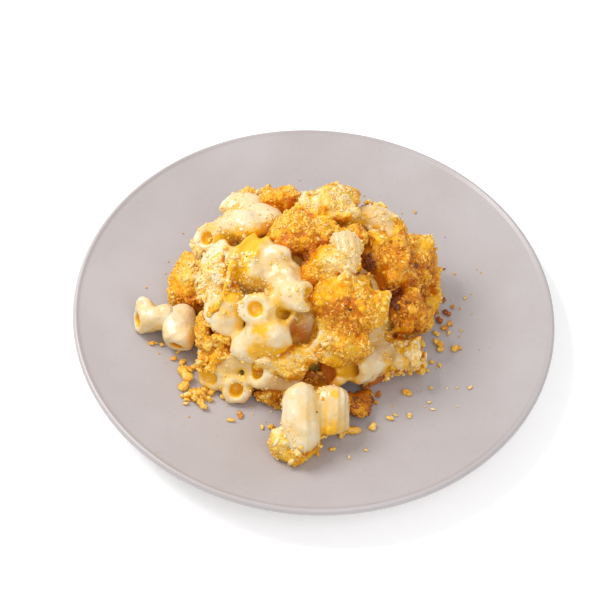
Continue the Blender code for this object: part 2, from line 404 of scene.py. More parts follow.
def turnedSurface(profile, around):
    # Each profile row turned through full circle; the rows at radius 0 close to single points.
    angle = np.linspace(0, math.tau, around, endpoint=False)
    ringR, ringZ = profile[1:-1, :1], profile[1:-1, 1:]
    rings = np.stack((ringR * np.cos(angle), ringR * np.sin(angle), ringZ + 0 * angle), -1)
    poles = np.array(((0, 0, profile[0, 1]), (0, 0, profile[-1, 1])))
    points = np.concatenate((rings.reshape(-1, 3), poles))
    rows = np.arange(len(profile) - 3)[:, None] * around
    here = np.arange(around)
    there = (here + 1) % around
    quads = np.stack((rows + here, rows + around + here, rows + around + there, rows + there), -1)
    last = (len(profile) - 3) * around
    topPole, lowPole = len(points) - 2, len(points) - 1
    caps = [np.stack((np.full(around, topPole), here, there), 1)]
    caps.append(np.stack((np.full(around, lowPole), last + there, last + here), 1))
    return points, [quads.reshape(-1, 4)] + caps


def plateLook():
    # Pale mauve-grey glaze, clouded, with a few fine flecks and an uneven sheen
    look = Look("plateGlaze")
    cloud = look.noise(38, 3.0)
    fleck = look.noise(2.2, 2.0)
    colour = look.mix(cloud.spread(0.3, 0.7), tint(174, 166, 165), tint(182, 175, 176))
    colour = look.mix(fleck.spread(0.62, 0.72) * 0.12, colour, tint(140, 126, 122))
    sheen = look.noise(12, 3.0)
    return look.finish({
        "Base Color": colour,
        "Roughness": 0.36 + sheen * 0.12,
        "Normal": look.bump(look.noise(7, 2.0), 0.35, 0.05),
        "Coat Weight": 0.25,
        "Coat Roughness": 0.25,
    })


platePoints, plateFaces = turnedSurface(plateProfile(), plateShape["around"])
makePiece("plate_glazed", platePoints, plateFaces, plateLook(), ["plate"])
print("plate done")


# the heap's pasta and sauce

# Elbows: middle x, y, z, heading, tilt and roll (degrees), length, bend (degrees), tube radius, depth of the
# open hole in the first end (0 where the end is buried).
elbows = {
    "hero": (-20, -29, 37, 3, -52, 145, 28, 95, 7.2, 3.2),
    "underHero": (-23, -39, 32, 3, 21, -90, 23, 40, 7.2, 0.0),
    "saucedEnd": (-12, -25, 47, 144, -50, -116, 26, 70, 6.8, 3.5),
    "whiteBulge": (-28, 20, 44, -37, 32, -90, 21, 120, 7.6, 0.0),
    "leftRing": (-42, 16, 35, 32, -17, 112, 26, 80, 6.8, 3.0),
    "leftArch": (-37, 14, 46, -22, 37, -137, 26, 130, 6.8, 0.0),
    "backArch": (-35, 29, 42, 10, 4, -142, 14, 110, 6.8, 0.0),
    "leftShoulder": (-42, -5, 44, -135, -30, -90, 16, 60, 6.8, 0.0),
    "leftMiddle": (-41, -23, 36, -82, -27, -90, 16, 70, 6.8, 0.0),
    "besideHero": (-36, -27, 36, -109, -43, -90, 19, 60, 6.8, 0.0),
    "lowLeft": (-38, -38, 18, -23, 23, -90, 22, 60, 6.8, 0.0),
    "lowCurl": (-14, -45, 16, 6, -24, 129, 26, 80, 6.8, 4.5),
    "frontRing": (-32, -42, 9, 95, -16, 66, 24, 50, 6.8, 5.0),
    "frontStub": (-43, -39, 9, 89, -44, -63, 22, 50, 6.8, 3.0),
    "frontLeft": (-4, -70, 24, 96, 26, -90, 25, 55, 7.8, 0.0),
    "frontRight": (9, -64, 22, 90, 32, -90, 19, 55, 7.3, 0.0),
    "rightBig": (33, -33, 15, -174, -34, -53, 30, 60, 7.8, 3.0),
    "rightHole": (26, -37, 19, 55, -20, 5, 25, 50, 6.8, 7.0),
    "rightLow": (9, -44, 20, -37, -28, -90, 13, 50, 6.5, 0.0),
    "ridged": (13, -7, 55, -82, -15, -90, 17, 50, 6.8, 0.0),
    "topRidge": (4, 28, 49, 17, -11, -90, 21, 90, 6.8, 0.0),
    "topRight": (27, 25, 41, -15, -10, -90, 14, 80, 6.8, 0.0),
}

heapShape = {
    "domeCentre": (-3.0, -3.0, 7.0),
    "domeRadii": (62.0, 50.0, 53.0),
    "coreDepth": 12.0,
    "holeRadius": 2.8,
    "holeEdge": 1.8,
    "lipRound": 3.2,
    "buriedRound": 6.0,
    "pastaFillet": 2.6,
    "sauceFillet": 3.0,
    "stringFillet": 2.0,
    "hollowEdge": 2.0,
    "plateGap": 0.12,
    "plateEdge": 0.6,
    "sauceWaves": ((11.0, 0.9), (4.8, 0.5), (2.4, 0.32)),  # size and height of each
    "ridges": {"ridged": 0.32, "frontRight": 0.3, "frontLeft": 0.1},
    "ridgeCount": 13,
    "pastaStep": 0.76,
    "low": (-76.0, -92.0, 4.0),
    "high": (70.0, 56.0, 72.0),
}

# Elbows that fill the back of the dome, each a step further round than the one before; angles in degrees.
fillerShape = {
    "count": 14,
    "sink": 6.0,
    "tube": 6.8,
    "length": 26,
    "bend": 85,
    "firstAzimuth": 15,
    "azimuthStep": 53,
    "azimuthRange": 150,
    "heights": (10, 36),
    "turnStep": 97,
}

# Lumps of sauce and melted cheddar: centre, then radii.
sauceLumps = {
    "drape": ((-25, -8, 46), (15, 12, 11)),
    "saucePool": ((-14, -16, 47), (9, 9, 8)),
    "heroBody": ((-18.5, -38.5, 37), (10.5, 7, 7.5)),
    "drip": ((-9, -33, 40), (2.2, 2.2, 5)),
    "bigBlob": ((28, -40, 22), (4, 3, 3)),
    "bigRidge": ((37, -39, 23), (3, 3.5, 3)),
    "blobLow": ((-27, -18, 52.5), (3.4, 2.6, 2.2)),
    "blobHigh": ((-17, -9, 56), (5, 3.4, 2.4)),
    "blobSide": ((-12, -19, 54), (3.2, 2.6, 2.4)),
    "leftPad": ((-41, -14, 46), (5, 6, 5)),
    "topPad": ((-30, 12, 50), (6, 4, 4)),
}

# Dark gaps carved between the elbows: centre, then radii.
hollows = {
    "besideEnd": ((-4, -37, 40), (6, 5.5, 9)),
    "underRidged": ((21, -9, 52), (4, 4, 8)),
    "underRight": ((31, -24, 45), (8, 3.5, 5)),
    "aboveFront": ((3, -47, 23), (7, 5, 6)),
    "bigNotch": ((32.5, -39, 26), (2.2, 3.4, 2.2)),
}

# Strings of melted cheese: points along each, then its radius.
strings = {
    "drapeEdge": (((-28, 2, 54), (-33, -6, 55.5), (-36, -15, 53), (-39, -24, 46), (-39, -30, 41)), 1.5),
    "drapeFold": (((-22, 0, 54), (-25, -8, 57), (-28, -16, 54.5)), 1.2),
    "heroLip": (((-15, -22, 52), (-18, -29, 49), (-17, -36, 43)), 1.3),
    "lowString": (((-30, -38, 36), (-34, -42, 30), (-33, -44, 25)), 1.2),
}

def arcAxes(heading, tilt, roll):
    # Tangent and inward normal of an elbow's arc at its middle. The tangent goes by heading and tilt, and
    # the normal is the level side vector turned about it by the roll.
    turn, rise, spin = (math.radians(a) for a in (heading, tilt, roll))
    flat = math.cos(rise)
    tangent = np.array((math.cos(turn) * flat, math.sin(turn) * flat, math.sin(rise)))
    side = np.array((-math.sin(turn), math.cos(turn), 0.0))
    return tangent, side * math.cos(spin) + np.cross(tangent, side) * math.sin(spin)


class Elbow:
    # A bar bent along a circular arc. In the arc's own frame a point lies along, out and to the side.
    def __init__(self, middle, tangent, normal, length, bend, tube, depth=0.0):
        self.sweep = math.radians(bend)
        self.radius = length / self.sweep
        self.half = self.sweep / 2
        self.tube = tube
        self.depth = depth
        self.ridge = 0.0
        self.middle = np.array(middle, float)
        self.centre = self.middle + normal * self.radius
        self.frame = (tangent, -normal, np.cross(tangent, normal))
        self.reach = length / 2 + tube + 5

    def local(self, x, y, z):
        # Coordinates in the arc's own frame, from the centre of its circle
        cx, cy, cz = self.centre
        return [(x - cx) * a + (y - cy) * b + (z - cz) * c for a, b, c in self.frame]

    def ring(self, x, y, z):
        # Distance to the arc's circle, and the angle round the tube
        along, out, side = self.local(x, y, z)
        flat = np.hypot(along, out)
        return along, out, np.hypot(flat - self.radius, side), np.arctan2(side, flat - self.radius)

    def solid(self, x, y, z):
        # Distance to the circle less the tube radius, plus a cosine of the angle for ridges, cut off by the
        # planes through the two ends.
        along, out, ring, angle = self.ring(x, y, z)
        end = np.abs(along) * math.cos(self.half) - out * math.sin(self.half)
        skin = ring - self.tube
        if self.ridge:
            skin = skin + self.ridge * np.cos(angle * heapShape["ridgeCount"])
        return softMax(skin, end, heapShape["lipRound"] if self.depth else heapShape["buriedRound"])

    def hole(self, x, y, z):
        # Distance to the circle less the hole radius, with a slow noise, from outside the first end to the
        # depth of the hole.
        along, out, ring = self.ring(x, y, z)[:3]
        past = -along * math.cos(self.half) - out * math.sin(self.half)
        wall = ring - heapShape["holeRadius"] + 0.5 * softNoise(x, y, z, 4.5, 21)
        return np.maximum(softMax(wall, -past - self.depth, 2.5), past - 7.0)

    def mouth(self):
        # Middle of the first end: back along the chord by r sin(half), and inwards by r (1 - cos(half)).
        arm = math.sin(self.half) * self.radius
        drop = self.radius * (1 - math.cos(self.half))
        tangent, outward = self.frame[:2]
        return self.middle - tangent * arm - outward * drop


def shownElbows():
    made = {}
    for name, (x, y, z, heading, tilt, roll, length, bend, tube, depth) in elbows.items():
        made[name] = Elbow((x, y, z), *arcAxes(heading, tilt, roll), length, bend, tube, depth)
    return made


def fillerElbows():
    # Elbows laid tangent to the dome, at its centre plus direction times its radii less the sink
    shape = fillerShape
    made = []
    radii = np.array(heapShape["domeRadii"])
    for i in range(shape["count"]):
        azimuth = math.radians(shape["firstAzimuth"] + (i * shape["azimuthStep"]) % shape["azimuthRange"])
        height = math.radians(shape["heights"][i % 2])
        flat = math.cos(height)
        direction = np.array((math.cos(azimuth) * flat, math.sin(azimuth) * flat, math.sin(height)))
        outward = direction / radii
        outward = outward / np.linalg.norm(outward)
        level = np.cross(outward, (0, 0, 1))
        level = level / np.linalg.norm(level)
        spin = math.radians(i * shape["turnStep"])
        tangent = level * math.cos(spin) + np.cross(outward, level) * math.sin(spin)
        middle = np.array(heapShape["domeCentre"]) + direction * (radii - shape["sink"])
        made.append(Elbow(middle, tangent, -outward, shape["length"], shape["bend"], shape["tube"]))
    return made


def lump(centre, radii, wander=0.0):
    # Distance to an ellipsoid, about k0 (k0 - 1) / k1, with k0 = |p / r| and k1 = |p / r^2|. Wander shifts p
    # by that much noise.
    def shape(x, y, z):
        if wander:
            shifts = [wander * softNoise(x, y, z, 10.0, 11 + i) for i in range(3)]
            x, y, z = x + shifts[0], y + shifts[1], z + shifts[2]
        parts = [(v - c) / r for v, c, r in zip((x, y, z), centre, radii)]
        k0 = np.sqrt(parts[0] ** 2 + parts[1] ** 2 + parts[2] ** 2)
        k1 = np.sqrt(sum((part / r) ** 2 for part, r in zip(parts, radii)))
        return k0 * (k0 - 1) / np.maximum(k1, 1e-6)
    return shape


def restOnPlate(block):
    # Cut the food off a hair above the plate's top face
    x, y, z = np.ix_(*block.axes)
    floor = flareHeight(np.hypot(x, y)) + heapShape["plateGap"] - z
    block.value = softMax(block.value, floor, heapShape["plateEdge"])


def ruffle(block, reach, waves):
    # Push the surface in and out by noise: waves are pairs of size and height.
    index, places = block.nearSurface(reach)
    push = sum(height * softNoise(*places.T, size, i + 1) for i, (size, height) in enumerate(waves))
    block.value[index] -= push


def pebble(block, reach, clumps):
    # Push rounded clumps out of the surface: height times 0.5 less the distance to the nearest pebble.
    index, places = block.nearSurface(reach)
    for size, height, shift in clumps:
        block.value[index] -= height * (0.5 - pebbleNoise(places, size, shift)[0])


def carveHollows(block, edge):
    for centre, radii in hollows.values():
        block.carve(centre, max(radii) + 3, lump(centre, radii), edge)


def pastaField():
    # The softened smallest of all the distances: core, elbows, sauce lumps and strings. The surface is then
    # ruffled, and the open ends and the gaps are carved out of it.
    shape = heapShape
    block = Block(shape["low"], shape["high"], shape["pastaStep"])
    core = [r - shape["coreDepth"] for r in shape["domeRadii"]]
    block.add(shape["domeCentre"], 60, lump(shape["domeCentre"], core), shape["pastaFillet"])
    for elbow in fillerElbows():
        block.add(elbow.middle, elbow.reach, elbow.solid, shape["pastaFillet"])
    made = shownElbows()
    for name, elbow in made.items():
        elbow.ridge = shape["ridges"].get(name, 0.0)
        block.add(elbow.middle, elbow.reach, elbow.solid, shape["pastaFillet"])
    for centre, radii in sauceLumps.values():
        block.add(centre, max(radii) + 5, lump(centre, radii), shape["sauceFillet"])
    for points, radius in strings.values():
        middle = np.mean(points, 0)
        reach = np.abs(np.array(points) - middle).max() + radius + 5
        block.add(middle, reach, stringShape(points, radius), shape["stringFillet"])
    ruffle(block, 3.0, shape["sauceWaves"])
    for elbow in made.values():
        if elbow.depth:
            block.carve(elbow.mouth(), 14, elbow.hole, shape["holeEdge"])
    carveHollows(block, shape["hollowEdge"])
    restOnPlate(block)
    return block, made


# Colour on the sauce: places of melted cheddar and of tan sauce, each a list of centre and radii.
sauceSpots = {
    "cheddar": [
        ((-26, 1, 55), (5, 6, 5)),
        ((-30, -7, 55), (4.5, 7, 5)),
        ((-33, -15, 52), (4.5, 6, 6)),
        ((-36, -23, 46), (3.5, 5, 6)),
        ((-34, 5, 48), (4, 4, 5)),
        ((-36, -9, 52), (2, 3, 3)),
        ((-22, -40, 43), (3.2, 2.4, 2.4)),
        ((-19, -46, 34), (9, 4, 4)),
        ((-44, 12, 37), (4, 5, 5)),
        ((-37, -31, 41), (2, 2, 2)),
        ((9, -75, 22), (2.5, 3, 3)),
        ((-47, -46, 19), (2.5, 3, 3)),
        ((34, -40, 20), (4, 3, 3)),
        ((15, -13, 52), (5, 4, 3)),
        ((18, 20, 48), (4, 5, 4)),
        ((-43, 12, 44), (4, 5, 3)),
        ((-12, -28, 44), (3, 3, 4)),
        ((42, -38, 22), (4, 3, 5)),
    ],
    "tan": [
        ((-17, -16, 54), (9, 6, 7)),
        ((-14, -36, 36), (7, 5, 5)),
        ((38, -38, 22), (12, 6, 5)),
        ((9, -70, 25), (7, 9, 8)),
        ((-2, -66, 24), (5, 14, 8)),
        ((-36, -44, 22), (9, 6, 5)),
        ((-46, -44, 18), (6, 6, 6)),
        ((13, -7, 57), (9, 10, 8)),
        ((-40, 16, 44), (14, 9, 9)),
        ((26, 24, 44), (9, 7, 7)),
    ],
}

crustShape = {
    "fillet": 4.5,
    "wander": 3.2,
    "margin": 8,
    "skinLift": 0.7,  # how far a patch stands out from the pasta
    "skinDepth": 4.0,
    "patchFillet": 1.5,
    "raggedWaves": ((7.0, 5.0, 9), (3.0, 2.5, 4)),  # size, height and first noise shift of each
    "waves": ((11.0, 1.1), (5.5, 0.8)),  # size and height of each
    "clumps": ((9.0, 3.8, 3), (4.4, 2.0, 1), (2.1, 0.8, 2)),  # size, height and noise shift of each
    "hollowEdge": 1.5,
}

# Crumb crust, one closed chunk for each entry. A lump is centre, radii and how toasted it is; a patch is the
# centre and radii of a place where thin crust lies over the pasta.
crustChunks = {
    "crust_top": {
        "step": 0.52,
        "lumps": [
            ((-17, 31, 44), (10, 9, 8), 0.0),
            ((-7, 5, 50), (15, 12, 10), 0.0),
            ((4, -13, 47), (11, 9, 9), 0.1),
            ((3, 22, 50), (14, 8, 6), 0.0),
            ((15, 4, 54), (7, 6, 5), 0.1),
            ((6, -12, 56), (4, 7, 4), 0.0),
            ((13, -17, 54), (6, 4, 4), 0.0),
        ],
        "patches": [((4, 30, 50), (14, 8, 8))],
    },
    "crust_back": {
        "step": 0.74,
        "lumps": [((30, 20, 32), (12, 13, 13), 0.1)],
        "patches": [((4, 46, 30), (52, 22, 26))],
    },
    "crust_right": {
        "step": 0.58,
        "lumps": [
            ((42, 11, 25), (15, 15, 16), 0.2),
            ((32, 4, 38), (14, 16, 14), 0.2),
            ((41, -19, 30), (10, 9, 9), 0.3),
            ((47, -8, 18), (9, 10, 9), 0.4),
        ],
        "patches": [((48, 0, 22), (26, 40, 26)), ((44, -37, 12), (12, 9, 8))],
    },
    "crust_centre": {
        "step": 0.5,
        "lumps": [
            ((14, -26, 44), (16, 12, 13), 0.1),
            ((10, -38, 34), (14, 9, 10), 0.15),
            ((-10, -44, 26), (16, 7, 6), 0.1),
        ],
        "patches": [((21, -42, 16), (4, 6, 9))],
    },
    "crust_left": {
        "step": 0.56,
        "lumps": [
            ((-53, 4, 16), (13, 14, 15), 0.1),
            ((-46, -17, 40), (4, 4, 4), 0.1),
            ((-42, -28, 37), (3.5, 4, 3.5), 0.0),
            ((-46, -30, 24), (6, 7, 8), 0.1),
        ],
        "patches": [((-58, 2, 20), (18, 26, 18)), ((-43, -16, 42), (7, 11, 9))],
    },
    "crust_front": {
        "step": 0.54,
        "lumps": [
            ((-3, -76, 12), (8, 7, 5), 0.15),
            ((-48, -52, 9), (8, 5, 3), 0.1),
            ((-16, -52, 9), (8, 5, 4), 0.3),
            ((2, -53, 13), (13, 9, 8), 0.6),
            ((20, -54, 10), (9, 6, 4), 1.0),
            ((-11, -78, 17), (5, 5, 6), 0.0),
        ],
        "patches": [((-38, -37, 25), (15, 8, 6)), ((-10, -77, 16), (10, 8, 9)), ((7, -77, 12), (8, 6, 6))],
    },
}

# Painted shade, brown, deep between the elbows: centre and radii.
gapShadeSpots = [
    ((-5, -36, 37), (5, 4.5, 8)),
    ((3, -46, 22), (9, 6, 6)),
    ((31, -25, 40), (8, 5, 9)),
    ((21, -11, 49), (5, 5, 7)),
    ((28, -40, 10), (9, 6, 6)),
    ((-22, -50, 8), (14, 6, 4)),
    ((14, -52, 8), (12, 6, 5)),
    ((-6, -6, 51), (6, 3, 2)),
    ((-40, 6, 36), (3, 3, 5)),
]

# Colour on the crust: pale, orange and toasted places, each a list of centre and radii.
crustSpots = {
    "pale": [
        ((4, 22, 56), (15, 8, 6)),
        ((10, -14, 58), (9, 8, 6)),
        ((22, 18, 50), (8, 7, 7)),
        ((2, -42, 38), (8, 6, 8)),
        ((-54, 0, 32), (12, 13, 10)),
        ((-14, -47, 30), (12, 5, 6)),
        ((-42, -14, 44), (10, 14, 10)),
        ((-40, 16, 46), (12, 9, 8)),
        ((46, 14, 40), (7, 6, 6)),
        ((-8, -79, 20), (8, 6, 8)),
        ((20, -42, 16), (5, 6, 10)),
        ((45, -37, 24), (8, 6, 6)),
    ],
    "orange": [
        ((-6, -5, 58), (13, 6, 6)),
        ((14, -36, 50), (9, 6, 8)),
        ((32, -8, 48), (12, 12, 12)),
        ((42, 4, 34), (14, 18, 12)),
        ((40, -20, 34), (12, 8, 10)),
        ((-56, -8, 22), (8, 8, 8)),
    ],
    "toast": [
        ((-6, -9, 52), (9, 4, 4)),
        ((20, -5, 44), (7, 7, 7)),
        ((34, -15, 35), (10, 5, 6)),
        ((26, -22, 40), (7, 6, 8)),
        ((4, -26, 46), (4, 5, 6)),
        ((-58, -14, 14), (6, 6, 6)),
        ((52, -8, 12), (8, 10, 7)),
    ],
}


def spotMask(points, spots, edge=4.0):
    # 1 well inside any of the ellipsoids, falling to 0 as the distance to it grows by the edge width
    mask = np.zeros(len(points))
    for centre, radii in spots:
        mask = np.maximum(mask, np.clip(0.6 - lump(centre, radii)(*points.T) / edge, 0, 1))
    return mask


def stringShape(points, radius):
    # Distance to the nearest stretch of a polyline, less the string's radius
    corners = np.array(points, float)

    def shape(x, y, z):
        nearest = far
        for start, end in zip(corners[:-1], corners[1:]):
            way = end - start
            along = (x - start[0]) * way[0] + (y - start[1]) * way[1] + (z - start[2]) * way[2]
            share = np.clip(along / (way @ way), 0, 1)
            gaps = [v - s - share * w for v, s, w in zip((x, y, z), start, way)]
            nearest = np.minimum(nearest, np.sqrt(gaps[0] ** 2 + gaps[1] ** 2 + gaps[2] ** 2))
        return nearest - radius
    return shape


def patchShell(block, pasta, centre, radii, shift):
    # Thin crust on the pasta: the pasta's own distance less the lift, kept to a skin of the given depth,
    # inside an ellipsoid with a ragged edge from two noises.
    shape = crustShape
    cut, x, y, z = block.window(centre, max(radii) + 3)
    region = lump(centre, radii)(x, y, z)
    ragged = region
    for size, height, first in shape["raggedWaves"]:
        ragged = ragged + height * softNoise(x, y, z, size, first + shift)
    grid = np.stack([axis + 0 * region for axis in (x, y, z)], -1).reshape(-1, 3)
    skin = pasta.sample(grid).reshape(region.shape) - shape["skinLift"]
    shell = softMax(softMax(skin, ragged * 0.6, 1.5), -skin - shape["skinDepth"], 1.0)
    block.value[cut] = softMin(block.value[cut], shell, shape["patchFillet"])


def closeOff(block, margin=1.0):
    # Cut the shape with planes just inside each side of the box, so that its surface closes.
    sides = [np.maximum(axis[0] + margin - axis, axis - axis[-1] + margin) for axis in block.axes]
    x, y, z = np.ix_(*sides)
    block.value = np.maximum(block.value, np.maximum(np.maximum(x, y), z))


def chunkField(chunk, pasta):
    # The softened smallest distance to the chunk's lumps and patches, with waves and rounded clumps of crumb
    # pushed out of it.
    shape = crustShape
    areas = [row[:2] for row in chunk["lumps"] + chunk["patches"]]
    low = np.min([np.array(centre) - radii for centre, radii in areas], 0) - shape["margin"]
    high = np.max([np.array(centre) + radii for centre, radii in areas], 0) + shape["margin"]
    block = Block(np.maximum(low, heapShape["low"]), np.minimum(high, heapShape["high"]), chunk["step"])
    for centre, radii, _ in chunk["lumps"]:
        block.add(centre, max(radii) + 6, lump(centre, radii, shape["wander"]), shape["fillet"])
    for i, (centre, radii) in enumerate(chunk["patches"]):
        patchShell(block, pasta, centre, radii, i)
    ruffle(block, 4.0, shape["waves"])
    pebble(block, 4.0, shape["clumps"])
    carveHollows(block, shape["hollowEdge"])
    closeOff(block)
    restOnPlate(block)
    return block


def recessShadeMask(points, normals, blocks):
    # How shut in a point is, used as painted shade in recesses: 1 less the free distance 4 and 8 mm out
    # along its normal over that distance.
    shut = 0.0
    for reach in (4.0, 8.0):
        places = points + normals * reach
        free = np.min([block.sample(places) for block in blocks], 0)
        shut = shut + 0.5 * (1 - np.clip(free / reach, 0, 1))
    return shut


def reliefMasks(points, normals, block, reach=2.0):
    # Folds, for painted shade: 1 less the free distance just outside over the reach. Peaks, for painted
    # light: the same with the depth inside.
    outside = block.sample(points + normals * reach)
    inside = -block.sample(points - normals * reach)
    return 1 - np.clip(outside / reach, 0, 1), 1 - np.clip(inside / reach, 0, 1)


def underShade(normals):
    # Painted shade on the faces that turn down: 0.45 times how far the normal's rise is below 0.3.
    return 0.45 * np.clip(0.3 - normals[:, 2], 0, 1)


def sauceLook():
    # Cream sauce, warmer in streaks and golden where cheddar melted, with painted shade: golden in recesses,
    # in folds and on the faces that turn down, and brown in the gaps, where the wet coat fades as well
    look = Look("cheeseSauce")
    deep, cheddar, tan, inner = (look.attribute(name) for name in ("deep", "cheddar", "tan", "inner"))
    fold = look.attribute("fold")
    cloud = look.noise(9, 3.0)
    streak = look.noise(2.6, 3.0, 0.6)
    pale = look.mix(cloud.spread(0.4, 0.62), tint(228, 210, 174), tint(228, 201, 148))
    warm = look.mix(streak.spread(0.5, 0.75) * 0.6, pale, tint(230, 191, 114))
    brown = look.mix((tan + (cloud - 0.5) * 1.2).spread(0.3, 0.9) * 0.7, warm, tint(220, 182, 112))
    # Painted shade: golden by depth, on the faces that turn down and in folds
    shade = (deep.spread(0.25, 0.9) + fold.spread(0.15, 0.6) * 0.5).least(0.95)
    shaded = look.mix(shade, brown, tint(234, 188, 70))
    melted = (cheddar + (streak - 0.5) * 0.9 + (cloud - 0.5) * 0.9).spread(0.2, 0.65)
    golden = look.mix(melted, shaded, tint(238, 180, 20))
    # Painted shade: brown in the gaps, with the coat faded there
    gap = look.attribute("gap").spread(0.1, 0.8)
    dark = look.mix(gap * 0.95, golden, tint(200, 108, 2))
    colour = look.mix(inner, dark, tint(242, 186, 40))
    height = look.noise(1.3, 3.0, 0.6) * 0.6 + look.noise(4.0, 2.0) * 0.9
    return look.finish({
        "Base Color": colour,
        "Roughness": 0.16 + streak * 0.2,
        "Normal": look.bump(height, 0.7, 0.6),
        "Subsurface Weight": 0.35,
        "Subsurface Radius": (1.0, 0.8, 0.35),
        "Subsurface Scale": 2.0 * mm,
        "Specular IOR Level": 0.3,
        "Coat Weight": 0.6 - gap * 0.6,
        "Coat Roughness": 0.06,
    })


def crustLook():
    # Crumb crust by tone: gold on the flanks and toasted brown in places, with painted light straw on the
    # peaks, and painted shade amber in folds and recesses and brown in the gaps
    look = Look("crumbCrust")
    deep, grain, toast = (look.attribute(name) for name in ("deep", "grain", "toast"))
    paleness, orange = look.attribute("pale"), look.attribute("orange")
    fold, peak = look.attribute("fold"), look.attribute("peak")
    shade = look.cells(1.3, "Color")
    mottle = look.noise(7, 3.0)
    tone = 0.26 + grain * 0.15 + shade * 0.2 + paleness * 0.4 + (mottle - 0.5) * 1.1 - orange * 0.3
    # Painted light on the peaks, painted shade in the folds
    tone = tone + peak * 0.5 - fold * 0.9
    stops = [(0.0, tint(202, 112, 2)), (0.25, tint(224, 149, 2)), (0.5, tint(236, 174, 10))]
    stops += [(0.75, tint(238, 194, 78)), (1.0, tint(240, 214, 162))]
    colour = look.ramp(tone, stops)
    # Painted shade in recesses
    colour = look.mix(deep.spread(0.35, 1.0) * 0.8, colour, tint(206, 106, 2))
    # Toasted brown where the crumbs toasted, and painted shade brown in the gaps
    toasted = (toast + (mottle - 0.5) * 0.8).spread(0.4, 1.0).most(look.attribute("gap").spread(0.2, 0.9))
    colour = look.mix(toasted * 0.85, colour, tint(154, 70, 6))
    height = look.cells(1.0) * -0.6 + look.noise(2.4, 3.0, 0.6)
    return look.finish({
        "Base Color": colour,
        "Roughness": 0.3 + shade * 0.25,
        "Normal": look.bump(height, 0.7, 0.5),
        "Subsurface Weight": 0.4,
        "Subsurface Radius": (1.0, 0.65, 0.2),
        "Subsurface Scale": 2.0 * mm,
        "Specular IOR Level": 0.3,
    })


def innerMask(points, made):
    # 1 on the walls of the open ends, falling to 0 over half a millimetre outside them
    inside = np.zeros(len(points))
    for elbow in made.values():
        if elbow.depth:
            hole = elbow.hole(*points.T)
            inside = np.maximum(inside, np.clip(1.0 - (hole - 0.1) / 0.5, 0, 1) * (np.abs(hole) < 4))
    return inside


pastaBlock, madeElbows = pastaField()
chunkBlocks = {name: chunkField(chunk, pastaBlock) for name, chunk in crustChunks.items()}
allBlocks = [pastaBlock] + list(chunkBlocks.values())
print("fields done")

pastaPoints, pastaFaces = surfaceNet(pastaBlock)
pastaNormals = pointNormals(pastaPoints, pastaFaces)
pastaMasks = {
    "deep": recessShadeMask(pastaPoints, pastaNormals, allBlocks) + underShade(pastaNormals),
    "fold": reliefMasks(pastaPoints, pastaNormals, pastaBlock)[0],
    "cheddar": spotMask(pastaPoints, sauceSpots["cheddar"], 7.0),
    "tan": spotMask(pastaPoints, sauceSpots["tan"], 7.0),
    "gap": spotMask(pastaPoints, gapShadeSpots),
    "inner": innerMask(pastaPoints, madeElbows),
}
sauceMaterial = sauceLook()
makePiece("macaroni_sauced", pastaPoints, pastaFaces, sauceMaterial, ["macaroni_heap"],
          pastaMasks)

crustMaterial = crustLook()
crusts = {}
for name, block in chunkBlocks.items():
    points, faces = surfaceNet(block)
    toasted = spotMask(points, crustSpots["toast"])
    for centre, radii, toast in crustChunks[name]["lumps"]:
        toasted = np.maximum(toasted, toast * np.clip(1 - lump(centre, radii)(*points.T) / 5.0, 0, 1))
    normals = pointNormals(points, faces)
    fold, peak = reliefMasks(points, normals, block)
    masks = {
        "deep": recessShadeMask(points, normals, allBlocks),
        "fold": fold,
        "peak": peak,
        "grain": pebbleNoise(points, 2.1, 2)[1],
        "gap": spotMask(points, gapShadeSpots),
        "toast": toasted,
        "pale": spotMask(points, crustSpots["pale"]),
        "orange": spotMask(points, crustSpots["orange"]),
    }
    crusts[name] = (points, faces, masks)
    makePiece(name, points, faces, crustMaterial, (), masks)
print("heap done")


# crumbs: grains on the crust, crumbs stuck to the sauce, and crumbs loose on the plate

crumbShape = {
    "grainsOnCrust": 6000,
    "flakesOnCrust": 5600,
    "grainsOnSauce": 2600,
    "grainRadius": 0.52,
    "flakeRadius": 0.55,
    "speckRadius": 0.42,
    "spread": 0.38,  # of the radii, as the deviation of their logarithm
    "radiusRange": (0.3, 1.9),
    "jitter": (0.72, 1.25),
    "grainStretch": (0.7, 1.25),
    "flakeStretch": ((1.2, 0.55, 0.35), (2.6, 1.0, 0.6)),
    "sauceStretch": (0.6, 1.25),
    "grainSink": 0.15,
    "dust": 90,
    "dustReach": (58, 84),
}

# Places where crumbs stick to the sauce: centre, then radii.
crumbedSauce = [
    ((-38, 18, 46), (12, 10, 8)),
    ((-43, -14, 44), (6, 12, 8)),
    ((26, 24, 44), (8, 7, 6)),
    ((-12, -80, 20), (7, 5, 9)),
    ((38, -38, 24), (9, 5, 5)),
    ((13, -8, 56), (8, 10, 6)),
]

# Pepper specks: x, y, z of each.
pepperPlaces = [(-42, -35, 33), (-47, -38, 22), (-30, -12, 55), (5, -70, 30), (-55, 2, 32), (16, -30, 56)]

